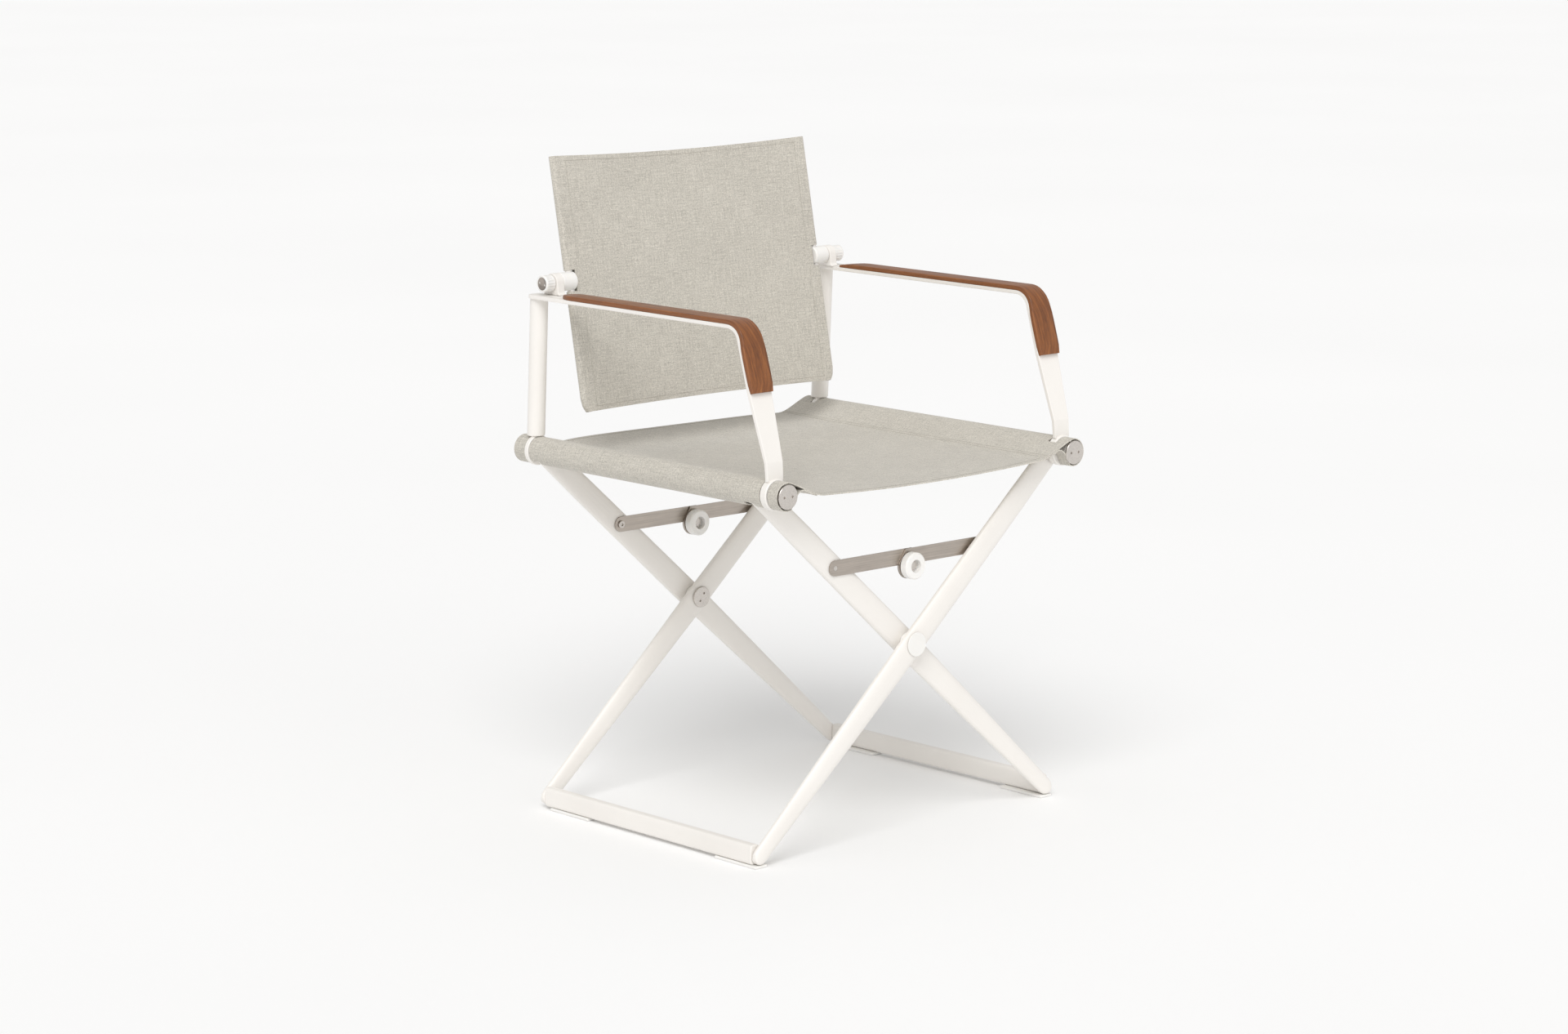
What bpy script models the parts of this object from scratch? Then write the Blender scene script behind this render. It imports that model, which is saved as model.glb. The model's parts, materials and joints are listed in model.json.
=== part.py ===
"""Folding director chair: two X-crossed leg frames, two side frames with wooden armrests,
a fabric seat sling, a tilting fabric back sling and two over-centre folding stays.

Run it with: blender --background --factory-startup --python part.py
Metres, +Z up. The chair faces -Y and stands on Z = 0 with its footprint centred on the origin.
"near" is the -X side (the sitter's right) and "far" is the +X side.
Frame A carries the near seat rail and stands on the far floor rail; frame B mirrors it.
"""

import math

import bmesh
import bpy
from mathutils import Matrix, Vector

# Driving dimensions
GAP = 0.0003  # between pieces that touch
RAIL_X = 0.248  # seat rail axis from the centre
RAIL_Z = 0.466  # seat rail axis above the floor
RAIL_R = 0.0125
RAIL_END = 0.2515  # seat rail half length
CROSS_Z = 0.245  # axis on which the leg frames cross
LEG_Y = {"front": -0.214, "rear": 0.1975}  # frame B's leg planes
FRAME_SHIFT = 0.017  # frame A's leg planes lie this far behind frame B's
LEG_THICK = 0.013
LEG_WIDE = 0.034
BASE_X = 0.2617  # floor rail axis from the centre
BASE_WIDE = 0.014
BASE_BOTTOM = 0.004
BASE_TOP = 0.029
TIP_R = 0.01075  # rounded lower end of a leg
ARM_TOP = 0.668  # upper face of the arm strap
STRAP_THICK = 0.005
STRAP_END = 0.0127  # the strap's rear end is a half round over the post
RING_Y = {"front": -0.229, "rear": 0.2250}  # strap and post rings on the seat rail
RING_HALF = {"front": 0.0055, "rear": 0.0035}
RING_R = 0.0195
BACK_PIVOT = Vector((0.0, 0.201, 0.6835))  # backrest tilt axis, along X
BACK_LEAN = math.radians(11.1)
BACK_UP = 0.1604  # back sling above the tilt axis, along the rod
BACK_DOWN = 0.1690
BACK_EDGE = 0.2175  # back sling half width
ROD_X = 0.2125
ROD_R = 0.0042
SEAM_X = 0.203  # where the seat sling is sewn back on itself
SLING_Z = 0.463
SLING_THICK = 0.002
PIN_Z = 0.356  # stay link pins on the legs
KNEE_Z = 0.3447  # stay knee pivots, below the line of the pins
LINK_TALL = 0.020
LINK_THICK = 0.0015
KNEE_R = 0.0174

SLOPE = RAIL_X / (RAIL_Z - CROSS_Z)  # leg run over rise
LEG_ANGLE = math.atan(SLOPE)
PIN_X = SLOPE * (PIN_Z - CROSS_Z)
SIDES = {"near": -1.0, "far": 1.0}
ENDS = ("front", "rear")
FRAMES = {"a": -1.0, "b": 1.0}  # the side of the seat rail that each frame carries
AXIS_Y = Vector((0, 1, 0))
BACK_DIR = Vector((0, math.sin(BACK_LEAN), math.cos(BACK_LEAN)))

FINISHES = {
    "white_paint": ((0.80, 0.79, 0.76), 0.38, 0.0),
    "white_plastic": ((0.83, 0.82, 0.80), 0.45, 0.0),
    "steel": ((0.46, 0.43, 0.40), 0.32, 1.0),
    "wood": ((0.26, 0.09, 0.035), 0.5, 0.0),
    "fabric": ((0.50, 0.48, 0.44), 0.9, 0.0),
}


def clear_scene():
    for obj in list(bpy.data.objects):
        bpy.data.objects.remove(obj)


def finish(name):
    """The Principled material for one finish."""
    if name in bpy.data.materials:
        return bpy.data.materials[name]
    colour, roughness, metallic = FINISHES[name]
    material = bpy.data.materials.new(name)
    material.use_nodes = True
    shader = material.node_tree.nodes["Principled BSDF"]
    shader.inputs["Base Color"].default_value = (*colour, 1)
    shader.inputs["Roughness"].default_value = roughness
    shader.inputs["Metallic"].default_value = metallic
    return material


def pivot_empty(name, location, parent=None):
    """An empty on a joint's axis, which carries the pieces of one moving body."""
    empty = bpy.data.objects.new(name, None)
    bpy.context.collection.objects.link(empty)
    empty.location = Vector(location)
    if parent:
        empty.parent = parent
        empty.location -= parent.matrix_world.translation
    bpy.context.view_layer.update()
    return empty


def add_object(name, bm, finish_name=None, body=None):
    """Makes an object from world-space geometry, with its origin on its body's axis."""
    bmesh.ops.recalc_face_normals(bm, faces=bm.faces)
    mesh = bpy.data.meshes.new(name)
    bm.to_mesh(mesh)
    bm.free()
    obj = bpy.data.objects.new(name, mesh)
    bpy.context.collection.objects.link(obj)
    if finish_name:
        mesh.materials.append(finish(finish_name))
        mesh.shade_smooth()
        mesh.set_sharp_from_angle(angle=math.radians(32))
    if body:
        mesh.transform(Matrix.Translation(-body.matrix_world.translation))
        obj.parent = body
    return obj


def cut(obj, bm):
    """Takes the shapes in bm away from the object."""
    boolean(obj, bm, "DIFFERENCE")


def boolean(obj, bm, operation):
    helper = add_object(f"{obj.name}_{operation.lower()}", bm)
    helper.hide_render = True
    helper.display_type = "WIRE"
    modifier = obj.modifiers.new(operation.title(), "BOOLEAN")
    modifier.operation = operation
    modifier.object = helper


def soften(obj, width, segments=2, angle=40):
    modifier = obj.modifiers.new("Bevel", "BEVEL")
    modifier.width = width
    modifier.segments = segments
    modifier.limit_method = "ANGLE"
    modifier.angle_limit = math.radians(angle)


def loft(bm, rings):
    """Skins closed rings of points and caps the two ends."""
    rows = [[bm.verts.new(point) for point in ring] for ring in rings]
    count = len(rows[0])
    for low, high in zip(rows, rows[1:]):
        for i in range(count):
            j = (i + 1) % count
            bm.faces.new((low[i], low[j], high[j], high[i]))
    bm.faces.new(reversed(rows[0]))
    bm.faces.new(rows[-1])


def turn(bm, start, axis, profile, sides=32):
    """Turns (distance along the axis, radius) stations into a capped round bar."""
    axis = Vector(axis).normalized()
    across = axis.orthogonal().normalized()
    other = axis.cross(across)
    rings = []
    for along, radius in profile:
        centre = Vector(start) + axis * along
        angles = [math.tau * i / sides for i in range(sides)]
        rings.append([centre + radius * (across * math.cos(a) + other * math.sin(a)) for a in angles])
    loft(bm, rings)


def bar(bm, start, end, radius, sides=32, edge=0.0):
    """A round bar between two points, with an optional chamfer at both ends."""
    start = Vector(start)
    length = (Vector(end) - start).length
    profile = [(0, radius), (length, radius)]
    if edge:
        profile = [(0, radius - edge), (edge, radius), (length - edge, radius), (length, radius - edge)]
    turn(bm, start, Vector(end) - start, profile, sides)


def bar_y(bm, x, z, low, high, radius, sides=32, edge=0.0):
    bar(bm, (x, low, z), (x, high, z), radius, sides, edge)


def box(bm, low, high):
    size = [h - l for l, h in zip(low, high)]
    middle = [(h + l) / 2 for l, h in zip(low, high)]
    bmesh.ops.create_cube(bm, size=1, matrix=Matrix.Translation(middle) @ Matrix.Diagonal((*size, 1)))


def prism(bm, outline, low, high):
    """Extrudes an (x, z) outline along Y."""
    loft(bm, [[Vector((x, y, z)) for x, z in outline] for y in (low, high)])


def arc(x, z, radius, start, end, steps):
    """Points on an arc, with angles in degrees from +X towards +Z."""
    angles = [math.radians(start + (end - start) * i / steps) for i in range(steps + 1)]
    return [(x + radius * math.cos(a), z + radius * math.sin(a)) for a in angles]


def oval(wide, thick, power=2.6, count=24):
    """A flat oval section as (across, along Y) offsets."""
    points = []
    for i in range(count):
        a = math.tau * i / count
        c, s = math.cos(a), math.sin(a)
        u = math.copysign(abs(c) ** (2 / power), c) * wide / 2
        v = math.copysign(abs(s) ** (2 / power), s) * thick / 2
        points.append((u, v))
    return points


def leg_plane(frame, end):
    return LEG_Y[end] + (FRAME_SHIFT if frame == "a" else 0.0)


def make_leg(frame, end, body):
    """A flat oval leg from its eye on the seat rail, through the crossing, to its round lower end."""
    top = FRAMES[frame]
    y = leg_plane(frame, end)
    axis = Vector((top * RAIL_X, y, RAIL_Z))
    down = Vector((-top * math.sin(LEG_ANGLE), 0, -math.cos(LEG_ANGLE)))
    across = Vector((math.cos(LEG_ANGLE), 0, -top * math.sin(LEG_ANGLE)))
    reach = RAIL_X / math.sin(LEG_ANGLE)
    stations = [
        (0.005, 0.0300, LEG_THICK - 0.0010),
        (0.090, 0.0325, LEG_THICK - 0.0004),
        (reach - 0.020, LEG_WIDE, LEG_THICK),
        (reach + 0.020, LEG_WIDE, LEG_THICK),
        (reach + 0.150, 0.0295, LEG_THICK - 0.0010),
        (reach + 0.260, 0.0250, LEG_THICK - 0.0022),
    ]
    tip = (RAIL_X + BASE_X - 0.0035) / math.sin(LEG_ANGLE)
    for degrees in (0, 25, 48, 66, 78):
        a = math.radians(degrees)
        thick = LEG_THICK - 0.0026 - 0.0030 * (1 - math.cos(a))
        stations.append((tip + TIP_R * math.sin(a), 2 * TIP_R * math.cos(a), thick))
    rings = []
    for along, wide, thick in stations:
        centre = axis + down * along
        rings.append([centre + across * u + AXIS_Y * v for u, v in oval(wide, thick)])
    bm = bmesh.new()
    loft(bm, rings)
    leg = add_object(f"leg_{frame}_{end}", bm, "white_paint", body)

    half = LEG_THICK / 2
    eye = bmesh.new()
    bar_y(eye, axis.x, axis.z, y - half, y + half, 0.0155, edge=0.0012)
    boolean(leg, eye, "UNION")
    holes = bmesh.new()
    bar_y(holes, axis.x, axis.z, y - 0.02, y + 0.02, RAIL_R + GAP)
    bar_y(holes, 0, CROSS_Z, y - 0.02, y + 0.02, 0.0053, 20)
    face = y + top * half
    bar_y(holes, top * PIN_X, PIN_Z, face - top * 0.009, face + top * 0.004, 0.0033, 16)
    cut(leg, holes)


def make_base_rail(frame, body):
    """The floor rail between the lower ends of a frame's two legs."""
    foot = -FRAMES[frame]
    low = leg_plane(frame, "front") + LEG_THICK / 2 - 0.0013 + GAP
    high = leg_plane(frame, "rear") - LEG_THICK / 2 + 0.0013 - GAP
    middle = (BASE_BOTTOM + BASE_TOP) / 2
    round_end = 0.0012
    section = oval(BASE_WIDE, BASE_TOP - BASE_BOTTOM, 5.0, 28)
    rings = []
    for y, inward in ((low, 1.0), (high, -1.0)):
        ends = []
        for step in range(4):
            a = math.radians(30 * step)
            inset = round_end * (1 - math.sin(a))
            scale_u = 1 - inset / (BASE_WIDE / 2)
            scale_v = 1 - inset / ((BASE_TOP - BASE_BOTTOM) / 2)
            place = y + inward * round_end * (1 - math.cos(a))
            ends.append([Vector((foot * BASE_X + u * scale_u, place, middle + v * scale_v)) for u, v in section])
        rings += ends if inward > 0 else list(reversed(ends))
    bm = bmesh.new()
    loft(bm, rings)
    add_object(f"base_rail_{frame}", bm, "white_paint", body)


def make_glide(frame, end, body):
    """A thin plastic pad under one end of the floor rail."""
    foot = -FRAMES[frame]
    if end == "front":
        low = leg_plane(frame, "front") - 0.0030
        high = low + 0.0760
    else:
        high = leg_plane(frame, "rear") - 0.0165
        low = high - 0.0760
    bm = bmesh.new()
    inner, outer = foot * 0.2485, foot * 0.2690
    box(bm, (min(inner, outer), low, 0), (max(inner, outer), high, BASE_BOTTOM - GAP))
    glide = add_object(f"glide_{frame}_{end}", bm, "white_plastic", body)
    soften(glide, 0.0012)


def make_crossing(end, body):
    """The pivot where two legs cross: bolt, spacer, nut and its cover or spanner head."""
    front = LEG_Y[end] - LEG_THICK / 2
    back = LEG_Y[end] + FRAME_SHIFT + LEG_THICK / 2
    bolt = bmesh.new()
    spanner = end == "rear"
    head = 0.0022 if spanner else 0.0
    turn_from = (0, front - GAP - head, CROSS_Z)
    reach = back + 0.0030 - turn_from[1]
    profile = [(0, 0.0050), (reach, 0.0050)]
    if spanner:
        profile = [(0, 0.0134), (0.0006, 0.0140), (head, 0.0140), (head, 0.0050), (reach, 0.0050)]
    turn(bolt, turn_from, AXIS_Y, profile, 28)
    bolt_object = add_object(f"pivot_bolt_{end}", bolt, "steel", body)
    if spanner:
        spanner_holes(bolt_object, 0, CROSS_Z, front - GAP - head, 1, math.radians(55), 0.0058)
    else:
        cap = bmesh.new()
        bar_y(cap, 0, CROSS_Z, front - 0.0020, front - 2 * GAP, 0.0155, 36, 0.0004)
        add_object("pivot_cap_front", cap, "white_plastic", body)
    washer(f"pivot_spacer_{end}", LEG_Y[end] + FRAME_SHIFT / 2, 0.0034, 0.0130, "white_plastic", body)
    washer(f"pivot_nut_{end}", back + 0.0016, 0.0026, 0.0095, "steel", body)


def washer(name, y, thick, radius, finish_name, body):
    bm = bmesh.new()
    bar_y(bm, 0, CROSS_Z, y - thick / 2, y + thick / 2, radius, 28, 0.0004)
    ring = add_object(name, bm, finish_name, body)
    hole = bmesh.new()
    bar_y(hole, 0, CROSS_Z, y - thick, y + thick, 0.0053, 20)
    cut(ring, hole)


def spanner_holes(obj, x, z, face, inward, tilt, spread):
    """Two small blind holes for a pin spanner, in a face across Y."""
    holes = bmesh.new()
    for side in (-1, 1):
        hx = x + side * spread * math.cos(tilt)
        hz = z + side * spread * math.sin(tilt)
        lows = sorted((face - inward * 0.001, face + inward * 0.0018))
        bar_y(holes, hx, hz, *lows, 0.0016, 14)
    cut(obj, holes)


def make_seat_rail(side, body):
    """The round rail inside the seat sling's loop, its end discs and its two bushes."""
    x = SIDES[side] * RAIL_X
    bm = bmesh.new()
    bar_y(bm, x, RAIL_Z, -RAIL_END, RAIL_END, RAIL_R, 28)
    add_object(f"seat_rail_{side}", bm, "white_paint", body)
    for end, sign in (("front", -1), ("rear", 1)):
        disc = bmesh.new()
        inner = sign * (RAIL_END + GAP)
        outer = sign * (RAIL_END + 0.0030)
        bar_y(disc, x, RAIL_Z, min(inner, outer), max(inner, outer), 0.0154, 36, 0.0005)
        disc_object = add_object(f"rail_disc_{side}_{end}", disc, "steel", body)
        spanner_holes(disc_object, x, RAIL_Z, outer, -sign, 0.0, 0.0066)


def make_bushes(frame, side, body):
    """Plain bushes on the seat rail that fill the room between leg eyes and rings."""
    x = SIDES[side] * RAIL_X
    front = (RING_Y["front"] + RING_HALF["front"], leg_plane(frame, "front") - LEG_THICK / 2)
    rear = (leg_plane(frame, "rear") + LEG_THICK / 2, RING_Y["rear"] - RING_HALF["rear"])
    for end, (low, high) in (("front", front), ("rear", rear)):
        if high - low < 4 * GAP:
            continue
        bm = bmesh.new()
        bar_y(bm, x, RAIL_Z, low + GAP, high - GAP, 0.0150, 28)
        bush = add_object(f"hub_bush_{side}_{end}", bm, "white_plastic", body)
        hole = bmesh.new()
        bar_y(hole, x, RAIL_Z, low - 0.01, high + 0.01, RAIL_R + GAP, 28)
        cut(bush, hole)


def strap_path():
    """Centre line of the arm strap in (y, z), with its direction, from the rear end to the ring."""
    centre_z = ARM_TOP - STRAP_THICK / 2
    radius = 0.0245
    lean = math.radians(17.1)
    bend_y = -0.1602
    points = [(0.2180, centre_z, 180.0), (0.1000, centre_z, 180.0), (-0.0400, centre_z, 180.0)]
    sweep = 90 - math.degrees(lean)
    for step in range(9):
        turned = sweep * step / 8
        a = math.radians(90 + turned)
        points.append((bend_y + radius * math.cos(a), centre_z - radius + radius * math.sin(a), 180 + turned))
    y, z, _ = points[-1]
    for z_next in (0.589, 0.545, 0.505):
        points.append((y - (z - z_next) * math.tan(lean), z_next, 180 + sweep))
    points.append((RING_Y["front"], 0.487, 270.0))
    points.append((RING_Y["front"], RAIL_Z + 0.0165, 270.0))
    return points


def strap_width(z, y):
    """The strap is widest just below the bend and slim at its two ends."""
    if z > 0.66:
        return 0.0285 + 0.0025 * min(1.0, max(0.0, (0.1 - y) / 0.26))
    if z > 0.60:
        return 0.0310 + 0.0060 * min(1.0, (0.66 - z) / 0.025)
    return 0.0255 + 0.0115 * max(0.0, min(1.0, (z - 0.495) / 0.105))


def make_strap(side, body):
    """The flat arm strap, bent once and welded to a ring on the seat rail."""
    x = SIDES[side] * RAIL_X
    half = STRAP_THICK / 2
    end_y, top_z, heading = strap_path()[0]
    stations = []
    for degrees in (70, 52, 34, 16):
        a = math.radians(degrees)
        stations.append((end_y + STRAP_END * math.sin(a), top_z, heading, math.cos(a)))
    stations += [(y, z, heading, 1.0) for y, z, heading in strap_path()]
    rings = []
    for y, z, heading, part in stations:
        a = math.radians(heading)
        out_y, out_z = math.sin(a), -math.cos(a)
        wide = strap_width(z, y) / 2 * part
        corners = ((-wide, half), (wide, half), (wide, -half), (-wide, -half))
        rings.append([Vector((x + u, y + v * out_y, z + v * out_z)) for u, v in corners])
    bm = bmesh.new()
    loft(bm, rings)
    strap = add_object(f"arm_strap_{side}", bm, "white_paint", body)
    soften(strap, 0.0008)
    ring = bmesh.new()
    half = RING_HALF["front"]
    bar_y(ring, x, RAIL_Z, RING_Y["front"] - half, RING_Y["front"] + half, RING_R, 40, 0.0012)
    boolean(strap, ring, "UNION")
    hole = bmesh.new()
    bar_y(hole, x, RAIL_Z, RING_Y["front"] - 0.01, RING_Y["front"] + 0.01, RAIL_R + GAP)
    cut(strap, hole)


def make_armrest(side, body):
    """The wooden cladding on the outer face of the strap, over the bend and down its front."""
    x = SIDES[side] * RAIL_X
    inner = STRAP_THICK / 2 + GAP
    thick = 0.0052
    tip = 0.1735
    taper = ((0.0, 0.35, 0.45), (0.006, 0.66, 0.62), (0.016, 0.86, 0.80), (0.034, 1.0, 1.0))
    top_z = ARM_TOP - STRAP_THICK / 2
    stations = [(tip - along, top_z, 180.0, wide, tall) for along, wide, tall in taper]
    stations += [(y, z, heading, 1.0, 1.0) for y, z, heading in strap_path() if y < 0.11 and z > 0.588]
    rings = []
    for y, z, heading, width_part, height_part in stations:
        a = math.radians(heading)
        out_y, out_z = math.sin(a), -math.cos(a)
        wide = strap_width(z, y) / 2 * width_part
        high = inner + thick * height_part
        corners = ((-wide, high), (wide, high), (wide, inner), (-wide, inner))
        rings.append([Vector((x + u, y - v * out_y, z - v * out_z)) for u, v in corners])
    bm = bmesh.new()
    loft(bm, rings)
    armrest = add_object(f"armrest_{side}", bm, "wood", body)
    soften(armrest, 0.0012)


def make_post(side, body):
    """The round rear post with its ring on the seat rail; it carries the strap's rear end."""
    x = SIDES[side] * RAIL_X
    y = RING_Y["rear"]
    top = ARM_TOP - STRAP_THICK - GAP
    stations = [
        (y, RAIL_Z + 0.0135, 0.0095, 0.0028),
        (y, RAIL_Z + 0.0184, 0.0095, 0.0028),
        (y + 0.0029, RAIL_Z + 0.0188, 0.0110, 0.0110),
        (y + 0.0028, RAIL_Z + 0.0196, 0.0116, 0.0116),
        (0.2185, top, 0.0116, 0.0116),
    ]
    angles = [math.tau * i / 28 for i in range(28)]
    bm = bmesh.new()
    loft(bm, [[Vector((x + u * math.cos(a), v + w * math.sin(a), z)) for a in angles] for v, z, u, w in stations])
    post = add_object(f"rear_post_{side}", bm, "white_paint", body)
    ring = bmesh.new()
    bar_y(ring, x, RAIL_Z, y - RING_HALF["rear"], y + RING_HALF["rear"], RING_R, 40, 0.0008)
    boolean(post, ring, "UNION")
    hole = bmesh.new()
    bar_y(hole, x, RAIL_Z, y - 0.02, y + 0.02, RAIL_R + GAP)
    cut(post, hole)


def make_lug(side, body):
    """The upright lug on the strap's inner edge that holds the backrest's tilt knob."""
    sign = SIDES[side]
    low, high = sorted((sign * 0.2308, sign * 0.2422))
    y, z = BACK_PIVOT.y, BACK_PIVOT.z
    foot = ARM_TOP + GAP
    outline = [(y + 0.0160, foot), (y + 0.0134, foot + 0.004)]
    outline += arc(y, z, 0.0122, 0, 180, 14)
    outline += [(y - 0.0134, foot + 0.004), (y - 0.0160, foot)]
    bm = bmesh.new()
    loft(bm, [[Vector((x, v, w)) for v, w in outline] for x in (low, high)])
    lug = add_object(f"back_lug_{side}", bm, "white_paint", body)
    soften(lug, 0.0010)
    hole = bmesh.new()
    bar(hole, (low - 0.01, y, z), (high + 0.01, y, z), 0.0043, 20)
    cut(lug, hole)


def make_knob(side, body):
    """The fluted clamp knob with its stud, which passes the lug and enters the back boss."""
    sign = SIDES[side]
    start = Vector((sign * 0.2230, BACK_PIVOT.y, BACK_PIVOT.z))
    flute = 0.2430 - 0.2230
    length = 0.2575 - 0.2230
    bm = bmesh.new()
    profile = [
        (0, 0.0040), (flute, 0.0040), (flute, 0.0102), (flute + 0.0006, 0.0108),
        (length - 0.0007, 0.0108), (length, 0.0101),
    ]
    turn(bm, start, (sign, 0, 0), profile, 40)
    knob = add_object(f"tilt_knob_{side}", bm, "steel", body)
    holes = bmesh.new()
    for part in (-1, 1):
        a = math.radians(12)
        y = BACK_PIVOT.y + part * 0.0050 * math.cos(a)
        z = BACK_PIVOT.z + part * 0.0050 * math.sin(a)
        bar(holes, (sign * 0.2557, y, z), (sign * 0.2700, y, z), 0.0014, 12)
    cut(knob, holes)


def make_back_rod(side, body):
    """The rod in the back sling's side loop, and the boss that hangs it on the tilt axis."""
    sign = SIDES[side]
    centre = BACK_PIVOT + Vector((sign * ROD_X, 0, 0))
    bm = bmesh.new()
    bar(bm, centre - BACK_DIR * (BACK_DOWN - 0.016), centre + BACK_DIR * (BACK_UP - 0.004), ROD_R, 16, 0.001)
    add_object(f"back_rod_{side}", bm, "white_paint", body)
    boss = bmesh.new()
    low, high = sorted((sign * 0.2070, sign * 0.2303))
    bar(boss, (low, centre.y, centre.z), (high, centre.y, centre.z), 0.0120, 36, 0.0014)
    boss_object = add_object(f"back_boss_{side}", boss, "white_plastic", body)
    holes = bmesh.new()
    bar(holes, centre - BACK_DIR * 0.03, centre + BACK_DIR * 0.03, ROD_R + GAP, 20)
    bar(holes, (sign * 0.2210, centre.y, centre.z), (sign * 0.2400, centre.y, centre.z), 0.0043, 20)
    cut(boss_object, holes)


def make_back_sling(side, body):
    """One half of the back sling: a slim loop around the rod and a flat half panel."""
    sign = SIDES[side]
    half = SLING_THICK / 2
    loop_r = BACK_EDGE - ROD_X
    across = Vector((0, math.cos(BACK_LEAN), -math.sin(BACK_LEAN)))
    outline = [(0.0005, -half), (ROD_X - loop_r - 0.010, -half)]
    outline += arc(ROD_X, 0, loop_r, -115, 115, 14)
    outline += [(ROD_X - loop_r - 0.010, half), (0.0005, half)]
    inner = arc(ROD_X, 0, ROD_R + GAP, 0, 345, 23)
    bm = bmesh.new()
    rings = []
    for along in (-BACK_DOWN, BACK_UP):
        rings.append([BACK_PIVOT + BACK_DIR * along + across * v + Vector((sign * u, 0, 0)) for u, v in outline])
    loft(bm, rings)
    sling = add_object(f"back_sling_{side}", bm, "fabric", body)
    holes = bmesh.new()
    rings = []
    for along in (-BACK_DOWN - 0.01, BACK_UP + 0.01):
        rings.append([BACK_PIVOT + BACK_DIR * along + across * v + Vector((sign * u, 0, 0)) for u, v in inner])
    loft(holes, rings)
    cut(sling, holes)
    window = bmesh.new()
    reach = (0.0135, 0.0205)
    corners = [(0.2052, -reach[0]), (0.2400, -reach[0]), (0.2400, reach[0]), (0.2052, reach[0])]
    rings = []
    for v in (-reach[1], reach[1]):
        rings.append([BACK_PIVOT + BACK_DIR * w + across * v + Vector((sign * u, 0, 0)) for u, w in corners])
    loft(window, rings)
    cut(sling, window)


def make_seat_sleeve(side, frame, body):
    """The seat sling's loop around the rail, down to the line where it is sewn to itself."""
    sign = SIDES[side]
    outer_r, inner_r = 0.0178, 0.0164
    half = SLING_THICK / 2
    drop = SLING_Z - RAIL_Z
    start = SEAM_X + GAP
    outer = [(start, SLING_Z - half), (start + 0.004, SLING_Z - half)]
    outer += arc(RAIL_X, RAIL_Z, outer_r, -115, 115, 22)
    outer += [(start + 0.004, SLING_Z + half), (start, SLING_Z + half)]
    inner = [(start + 0.009, RAIL_Z + drop)] + arc(RAIL_X, RAIL_Z, inner_r, -113, 113, 22)
    bm = bmesh.new()
    prism(bm, [(sign * x, z) for x, z in outer], -0.2525, 0.2510)
    sleeve = add_object(f"seat_loop_{side}", bm, "fabric", body)
    holes = bmesh.new()
    prism(holes, [(sign * x, z) for x, z in inner], -0.27, 0.27)
    cut(sleeve, holes)
    slots = bmesh.new()
    near_x, far_x = sorted((sign * 0.2270, sign * 0.2800))
    for end in ENDS:
        y = RING_Y[end]
        half = RING_HALF[end] + (0.0020 if end == "front" else 0.0010)
        box(slots, (near_x, y - half, RAIL_Z - 0.03), (far_x, y + half, RAIL_Z + 0.03))
    cut(sleeve, slots)
    notches = bmesh.new()
    near_x, far_x = sorted((sign * (start + 0.0015), sign * 0.2800))
    for end in ENDS:
        y = leg_plane(frame, end)
        box(notches, (near_x, y - 0.0085, RAIL_Z - 0.04), (far_x, y + 0.0085, RAIL_Z - 0.0005))
    cut(sleeve, notches)


def make_seat_panel(side, body):
    """One flat half of the seat sling, from the seam to the middle of the seat."""
    sign = SIDES[side]
    low, high = sorted((sign * 0.0005, sign * (SEAM_X - GAP)))
    half = SLING_THICK / 2
    bm = bmesh.new()
    box(bm, (low, -0.2525, SLING_Z - half), (high, 0.2510, SLING_Z + half))
    add_object(f"seat_panel_{side}", bm, "fabric", body)


def make_link(frame, end, body):
    """A flat stay link with a round end at the leg and a lobe around the knee pivot."""
    top = FRAMES[frame]
    y = leg_link_plane(frame, end)
    half = LINK_TALL / 2
    low, high = PIN_Z - half, PIN_Z + half
    lobe = math.degrees(math.asin((low - KNEE_Z) / KNEE_R))
    corner = math.degrees(math.acos(0.006 / KNEE_R))
    outline = [(x, z) for x, z in arc(PIN_X, PIN_Z, half, 90, -90, 10)]
    outline += [(x, z) for x, z in arc(0, KNEE_Z, KNEE_R, lobe, -180 - corner + 60, 16)]
    outline += [(-0.006, high)]
    bm = bmesh.new()
    prism(bm, [(top * x, z) for x, z in outline], y - LINK_THICK / 2, y + LINK_THICK / 2)
    link = add_object(f"stay_link_{frame}_{end}", bm, "steel", body)
    holes = bmesh.new()
    bar_y(holes, top * PIN_X, PIN_Z, y - 0.01, y + 0.01, 0.0033, 16)
    bar_y(holes, 0, KNEE_Z, y - 0.01, y + 0.01, 0.0033, 16)
    cut(link, holes)


def leg_link_plane(frame, end):
    """Frame B's links lie against its legs' rear faces, frame A's against its legs' front faces."""
    if frame == "b":
        return LEG_Y[end] + LEG_THICK / 2 + GAP + LINK_THICK / 2
    return LEG_Y[end] + FRAME_SHIFT - LEG_THICK / 2 - GAP - LINK_THICK / 2


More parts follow.
